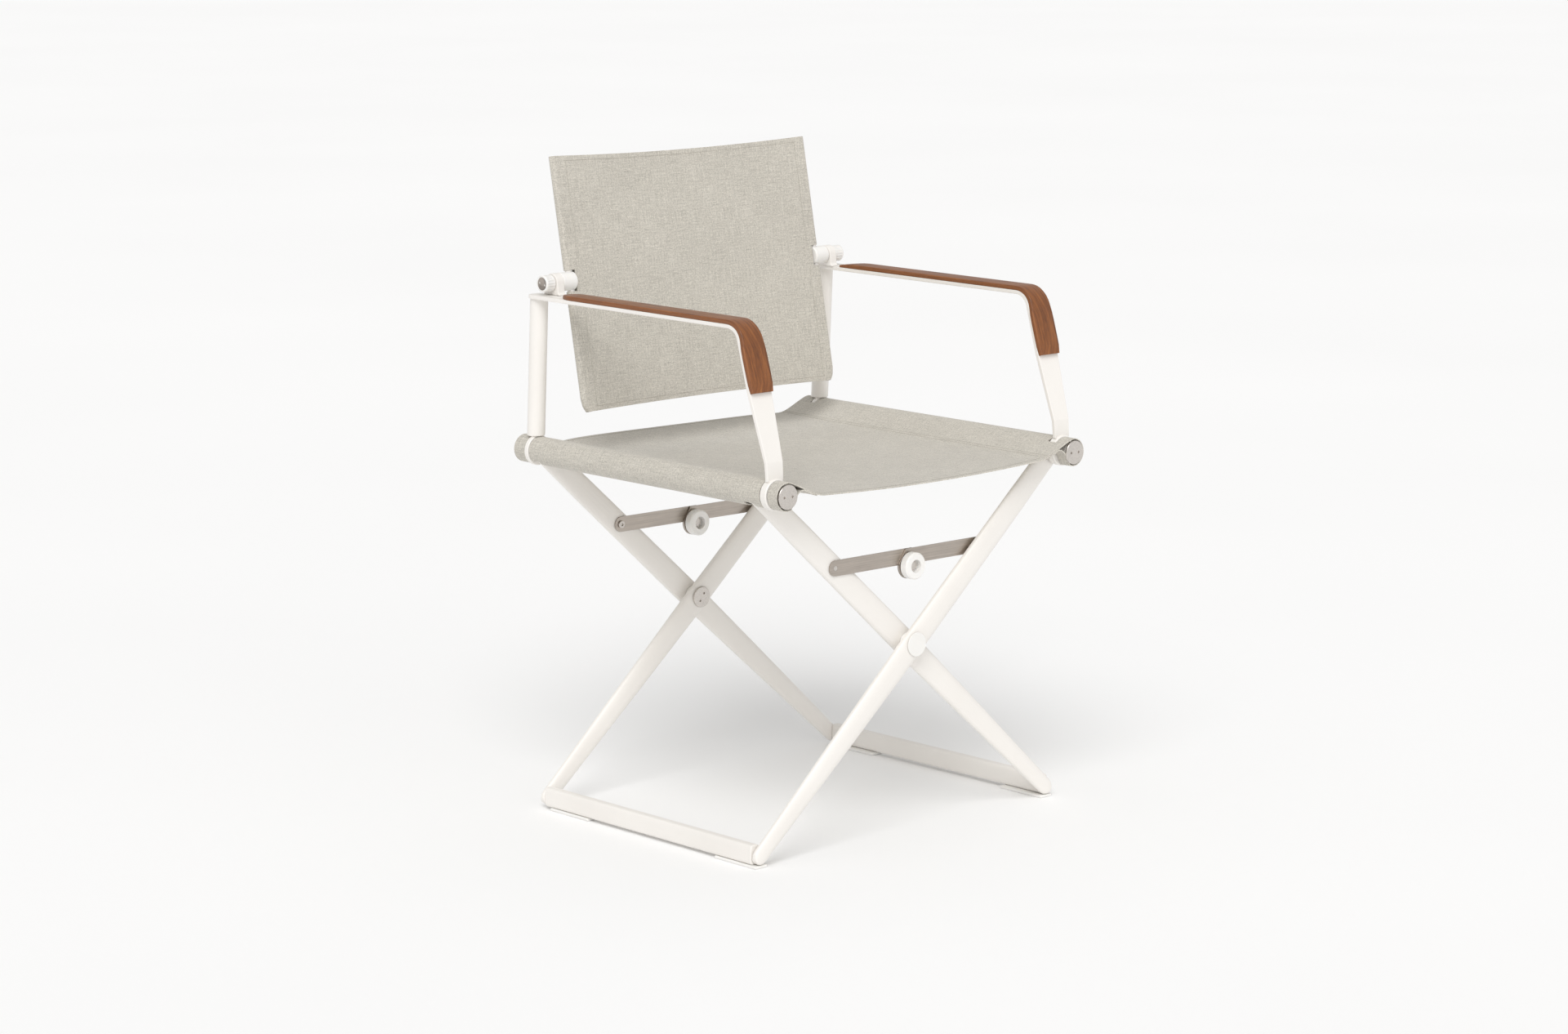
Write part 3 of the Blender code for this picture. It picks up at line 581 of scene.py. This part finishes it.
def seat_rise(x):
    """Height of the seat's upper layer above its flat middle, on its way up to the rail."""
    run = RAIL_X + LOOP_R * math.cos(math.radians(LOOP_FROM)) - RISE_X
    rise = RAIL_Z + LOOP_R * math.sin(math.radians(LOOP_FROM)) - SLING_Z
    slope = math.tan(math.radians(LOOP_FROM - 90))
    t = max(0.0, (x - RISE_X) / run)
    return rise * t * t * (3 - 2 * t) + run * slope * t * t * (t - 1)


def seat_drop(x, y):
    """How far the seat lies below its unloaded shape, fading out towards the rail."""
    return ease((SAG_X - abs(x)) / 0.05) * (sag(x, y) + ripple(x, y))


def seat_profile(side):
    """(x, z, length along the cloth, zone) from the middle, round the rail and back to the seam."""
    points = [(i * RISE_X / 24, SLING_Z, "top") for i in range(25)]
    meet_x = RAIL_X + LOOP_R * math.cos(math.radians(LOOP_FROM))
    for i in range(1, 10):
        x = RISE_X + (meet_x - RISE_X) * i / 10
        points.append((x, SLING_Z + seat_rise(x), "top"))
    for i in range(23):
        degrees = LOOP_FROM + (LOOP_TO - LOOP_FROM) * i / 22
        a = math.radians(degrees)
        zone = "round" if degrees > LEG_FROM else "under"
        points.append((RAIL_X + LOOP_R * math.cos(a), RAIL_Z + LOOP_R * math.sin(a), zone))
    leave_x, leave_z, _ = points[-1]
    for i in range(1, 9):
        x = leave_x + (SEAM_X - 0.004 - leave_x) * i / 8
        under = SLING_Z + seat_rise(x) - 0.0015
        close = min(1.0, (leave_x - x) / 0.021)
        points.append((x, leave_z + (under - leave_z) * (1 - (1 - close) ** 1.5), "under"))
    return measured(points, SIDES[side])


def make_seat_cloth(side):
    """One half of the seat cloth with its loop round the rail, open at the rings and the legs."""
    profile = seat_profile(side)
    legs = LEG_Y[FRAME_OF[side]]
    stops = [SEAT_FRONT, SEAT_REAR]
    for y, half in (*RINGS, *((leg, LEG_SLOT) for leg in legs)):
        stops += [y - half, y + half]
    ys = spread(sorted({round(stop, 4) for stop in stops}), GRID)

    def keep(a, b, y):
        x = abs(a[0] + b[0]) / 2
        if x > RING_SLOT_X and any(abs(y - ring) < half for ring, half in RINGS):
            return False
        both_under = a[3] == "under" and b[3] == "under"
        return not (both_under and any(abs(y - leg) < LEG_SLOT for leg in legs))

    def place(p, y):
        x, z = p[0], p[1]
        draw = FRONT_DRAW * max(0.0, 1 - (x / SEAM_X) ** 2) if y < 0 else 0.0
        return (x, y * (1 - draw / 0.25), z - seat_drop(x, y))

    bm = bmesh.new()
    uv = bm.loops.layers.uv.new("UVMap")
    strip_grid(bm, uv, profile, ys, keep, place)
    bmesh.ops.recalc_face_normals(bm, faces=bm.faces)
    upper = [face for face in bm.faces if face.calc_center_median().z > SLING_Z - 0.0015]
    if sum(face.normal.z * face.calc_area() for face in upper) < 0:
        bmesh.ops.reverse_faces(bm, faces=bm.faces)
    piece = new_piece(f"seat_cloth_{side}", bm, FABRIC, 60)
    thicken(piece)
    apply_modifiers(piece)
    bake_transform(piece)
    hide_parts(f"seat_panel_{side}", f"seat_loop_{side}")
    return piece


def make_seat_stitches(side):
    """The double seam beside the rail loop, and the hem lines along the front and rear edges."""
    sign = SIDES[side]
    top = CLOTH / 2 + 0.00005

    def on_seat(point):
        x, y = point.x, point.y
        return Vector((x, y, SLING_Z + seat_rise(abs(x)) - seat_drop(x, y) + top))

    spots = []
    for x in (0.2030, 0.1985):
        spots += stitch_run((sign * x, -0.2495, 0), (sign * x, 0.2480, 0), (0, 0, 1), on_seat)
    for y in (-0.2435, 0.2420):
        spots += stitch_run((sign * 0.003, y, 0), (sign * 0.196, y, 0), (0, 0, 1), on_seat)
    piece = stitches(f"seat_stitching_{side}", spots)
    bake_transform(piece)
    return piece


def back_edge(x, w):
    """How far the bowed top and bottom edges move a point along the back."""
    share = 1 - min(1.0, abs(x) / ROD_X) ** 2
    bow, reach = (-0.0040, BACK_HIGH) if w > 0 else (0.0030, BACK_LOW)
    return bow * share * abs(w / reach) ** 3


def back_belly(x, w):
    """The cloth bellies slightly rearward between its rods."""
    share = 1 - min(1.0, abs(x) / ROD_X) ** 2
    top = math.exp(-((w - 0.105) / 0.030) ** 2)
    fold = 0.0016 * math.exp(-((x + 0.03) / 0.12) ** 2) * top
    return 0.0035 * share + fold


def back_point(x, w, v):
    """The point w up the leaning back and v rearward of the plane through its rods."""
    return Vector((x, PIVOT_Y, PIVOT_Z)) + BACK_UP * w + BACK_OUT * v


def make_back_cloth(side):
    """One half of the back cloth with its loop round the rod, open at the boss."""
    sign = SIDES[side]
    loop = BACK_LOOP
    points = [(i * BACK_FLAT / 22, loop, "face") for i in range(23)]
    points += [(BACK_FLAT + 0.0035 * i, loop, "face") for i in range(1, 4)]
    for i in range(17):
        a = math.radians(88 - 196 * i / 16)
        points.append((ROD_X + loop * math.cos(a), loop * math.sin(a), "round"))
    points += [(0.2045, -0.0022, "back"), (0.1990, 0.0020, "back"), (0.1930, loop - 0.0014, "back")]
    low_rows = [-BACK_LOW + 0.0025 * i for i in range(4)]
    ws = spread([*low_rows, -BOSS_HALF, BOSS_HALF, BACK_HIGH - 0.0075, BACK_HIGH], GRID)

    def keep(a, b, w):
        return abs(w) >= BOSS_HALF or abs(a[0] + b[0]) / 2 <= BOSS_X

    def place(p, w):
        x, v = p[0], -p[1]
        draw = CORNER_DRAW * max(0.0, (CORNER_TALL - BACK_LOW - w) / CORNER_TALL) ** 1.8
        x -= math.copysign(draw * ease((abs(x) - 0.18) / 0.03), x)
        w += back_edge(x, w)
        if p[3] == "face" or abs(x) < 0.195:
            v += back_belly(x, w)
        return back_point(x, w, v)

    bm = bmesh.new()
    uv = bm.loops.layers.uv.new("UVMap")
    strip_grid(bm, uv, measured(points, sign), ws, keep, place)
    bmesh.ops.recalc_face_normals(bm, faces=bm.faces)
    piece = new_piece(f"back_cloth_{side}", bm, FABRIC, 60)
    thicken(piece)
    apply_modifiers(piece)
    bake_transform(piece)
    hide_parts(f"back_sling_{side}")
    return piece


def make_hem(side, up):
    """The turned hem along the back's top or bottom edge: a thin second layer."""
    sign = SIDES[side]
    bm = bmesh.new()
    uv = bm.loops.layers.uv.new("UVMap")
    edge, inward = (BACK_HIGH, -1.0) if up else (-BACK_LOW, 1.0)
    section = ((0.0, 0.0011), (0.0012, 0.0014), (0.0062, 0.0013), (0.0070, 0.0008))
    rows = []
    for i in range(25):
        x = i * HEM_LONG / 24
        row = []
        for depth, v in section:
            w = edge + inward * depth
            w += back_edge(x, w)
            row.append(bm.verts.new(back_point(sign * x, w, back_belly(sign * x, w) - BACK_LOOP + v)))
        rows.append(row)
    for a, b in zip(rows, rows[1:]):
        for j in range(len(section) - 1):
            quad = bm.faces.new((a[j], b[j], b[j + 1], a[j + 1]))
            for loop in quad.loops:
                loop[uv].uv = (loop.vert.co.x, loop.vert.co.z)
    bmesh.ops.recalc_face_normals(bm, faces=bm.faces)
    name = "top" if up else "bottom"
    piece = new_piece(f"back_hem_{name}_{side}", bm, FABRIC, 60)
    thicken(piece, 0.0009)
    apply_modifiers(piece)
    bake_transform(piece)
    return piece


def make_back_stitches(side):
    """Stitching along the hems and beside the rod loop, on the front of the cloth."""
    sign = SIDES[side]
    face = -BACK_LOOP - CLOTH / 2 - 0.00005

    def on_back(point):
        x, w = point.x, point.z
        return back_point(x, w + back_edge(x, w), back_belly(x, w) + face)

    spots = []
    for w in (BACK_HIGH - 0.0062, -BACK_LOW + 0.0062):
        spots += stitch_run((sign * 0.002, 0, w), (sign * 0.2000, 0, w), -BACK_OUT, on_back)
    for low, high in ((-BACK_LOW + 0.006, -0.0155), (0.0155, BACK_HIGH - 0.006)):
        run = stitch_run((sign * 0.1975, 0, low), (sign * 0.1975, 0, high), -BACK_OUT, on_back)
        spots += [(centre, BACK_UP, normal, length) for centre, _, normal, length in run]
    piece = stitches(f"back_stitching_{side}", spots)
    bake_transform(piece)
    return piece


# ---------------------------------------------------------------- hardware


def fluted_knob(side):
    """The clamp knob: a white barrel with milled flutes and a steel pin-spanner face."""
    sign = SIDES[side]
    low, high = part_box(f"tilt_knob_{side}")
    outer = high.x if sign > 0 else -low.x
    length = outer - KNOB_INNER
    stations = [
        (-0.0007, 0.0070, 0.0), (0.0, 0.0100, 0.0), (0.0004, 0.0105, 0.0), (0.0016, 0.0106, 0.0),
        (0.0022, 0.0107, 1.0), (length - 0.0034, 0.0107, 1.0), (length - 0.0028, 0.0107, 0.0),
        (length - 0.0007, 0.0108, 0.0), (length, 0.0101, 0.0), (length, 0.0084, 0.0),
        (length - 0.0005, 0.0080, 0.0), (length - 0.0005, 0.0010, 0.0),
    ]
    bm = bmesh.new()
    rows = []
    for along, radius, cut in stations:
        row = []
        for i in range(KNOB_SIDES):
            a = math.tau * i / KNOB_SIDES
            r = radius - (FLUTE_DEEP * cut if i % FLUTE_EVERY == 0 else 0.0)
            spot = (sign * (KNOB_INNER + along), PIVOT_Y + r * math.cos(a), PIVOT_Z + r * math.sin(a))
            row.append(bm.verts.new(spot))
        rows.append(row)
    skin(bm, rows)
    bmesh.ops.recalc_face_normals(bm, faces=bm.faces)
    piece = new_piece(f"fluted_knob_{side}", bm, MOULDING, 28)
    piece.data.materials.append(STEEL_KNOB)
    for face in piece.data.polygons:
        spot = face.center
        off = math.hypot(spot.y - PIVOT_Y, spot.z - PIVOT_Z)
        face.material_index = int(abs(spot.x) > outer - 0.0009 and off < KNOB_FACE_R)
    holes = bmesh.new()
    for part in (-1, 1):
        centre = Vector((sign * (outer + 0.0005), PIVOT_Y + part * 0.0050, PIVOT_Z + part * 0.0012))
        matrix = Matrix.Translation(centre) @ Matrix.Rotation(math.pi / 2, 4, "Y")
        bmesh.ops.create_cone(holes, cap_ends=True, segments=16, radius1=HOLE_R, radius2=HOLE_R,
                              depth=HOLE_DEEP, matrix=matrix)
    bmesh.ops.recalc_face_normals(holes, faces=holes.faces)
    cutter = bpy.data.objects.new(f"knob_cut_{side}", bpy.data.meshes.new(f"knob_cut_{side}"))
    holes.to_mesh(cutter.data)
    holes.free()
    bpy.context.collection.objects.link(cutter)
    boolean = piece.modifiers.new("Holes", "BOOLEAN")
    boolean.object = cutter
    boolean.solver = "EXACT"
    apply_modifiers(piece)
    bpy.data.objects.remove(cutter)
    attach(piece, f"knob_{side}")
    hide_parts(f"tilt_knob_{side}")


# ---------------------------------------------------------------- camera, floor and light


def make_camera():
    """A long lens from the front left, a little above the arms."""
    camera = bpy.data.objects.new("camera", bpy.data.cameras.new("camera"))
    bpy.context.collection.objects.link(camera)
    camera.location = (-3.574, -3.912, 1.3325)
    camera.rotation_euler = (math.radians(90 - 10.21), 0, math.radians(-42.22))
    camera.data.sensor_width = 36.0
    camera.data.lens = 95.83
    camera.data.clip_end = 100
    bpy.context.scene.camera = camera


def make_floor():
    """A plain pale studio floor."""
    bm = bmesh.new()
    bmesh.ops.create_grid(bm, x_segments=1, y_segments=1, size=30)
    mesh = bpy.data.meshes.new("floor")
    bm.to_mesh(mesh)
    bm.free()
    floor = bpy.data.objects.new("floor", mesh)
    bpy.context.collection.objects.link(floor)
    n = Nodes("studio_floor")
    drift = n.noise(n.mapped(), 0.7, 2.0)
    tone = n.ramp(drift, [(0.3, (0.965, 0.965, 0.965)), (0.7, (0.98, 0.98, 0.98))])
    n.link(tone, n.shader.inputs["Base Color"])
    n.shader.inputs["Roughness"].default_value = 0.9
    n.shader.inputs["Specular IOR Level"].default_value = 0.2
    mesh.materials.append(n.material)


def soft_sun(name, direction, strength, spread_deg):
    """A broad soft light from far away, so that the floor is evenly lit to its edge."""
    data = bpy.data.lights.new(name, "SUN")
    data.energy = strength
    data.angle = math.radians(spread_deg)
    light = bpy.data.objects.new(name, data)
    bpy.context.collection.objects.link(light)
    light.rotation_euler = (-Vector(direction)).to_track_quat("-Z", "Y").to_euler()


def make_light():
    """Even white surroundings, a key from the front left, a low front fill and a little from above."""
    scene = bpy.context.scene
    scene.view_settings.view_transform = "Standard"
    world = bpy.data.worlds.new("studio")
    scene.world = world
    world.use_nodes = True
    background = world.node_tree.nodes["Background"]
    background.inputs["Color"].default_value = (1.0, 0.995, 0.985, 1)
    background.inputs["Strength"].default_value = 0.575
    soft_sun("key", (-0.75, -0.65, 1.05), 1.50, 34)
    soft_sun("fill", (-0.20, -1.00, 0.25), 0.42, 50)
    soft_sun("top", (0.15, 0.35, 1.0), 0.14, 60)


finish_cad_nodes()
make_camera()
make_floor()
make_light()
for side_name in SIDES:
    make_armrest(side_name)
    fluted_knob(side_name)
    seat = make_seat_cloth(side_name)
    seat_thread = make_seat_stitches(side_name)
    back = make_back_cloth(side_name)
    hems = [make_hem(side_name, up) for up in (True, False)]
    back_thread = make_back_stitches(side_name)
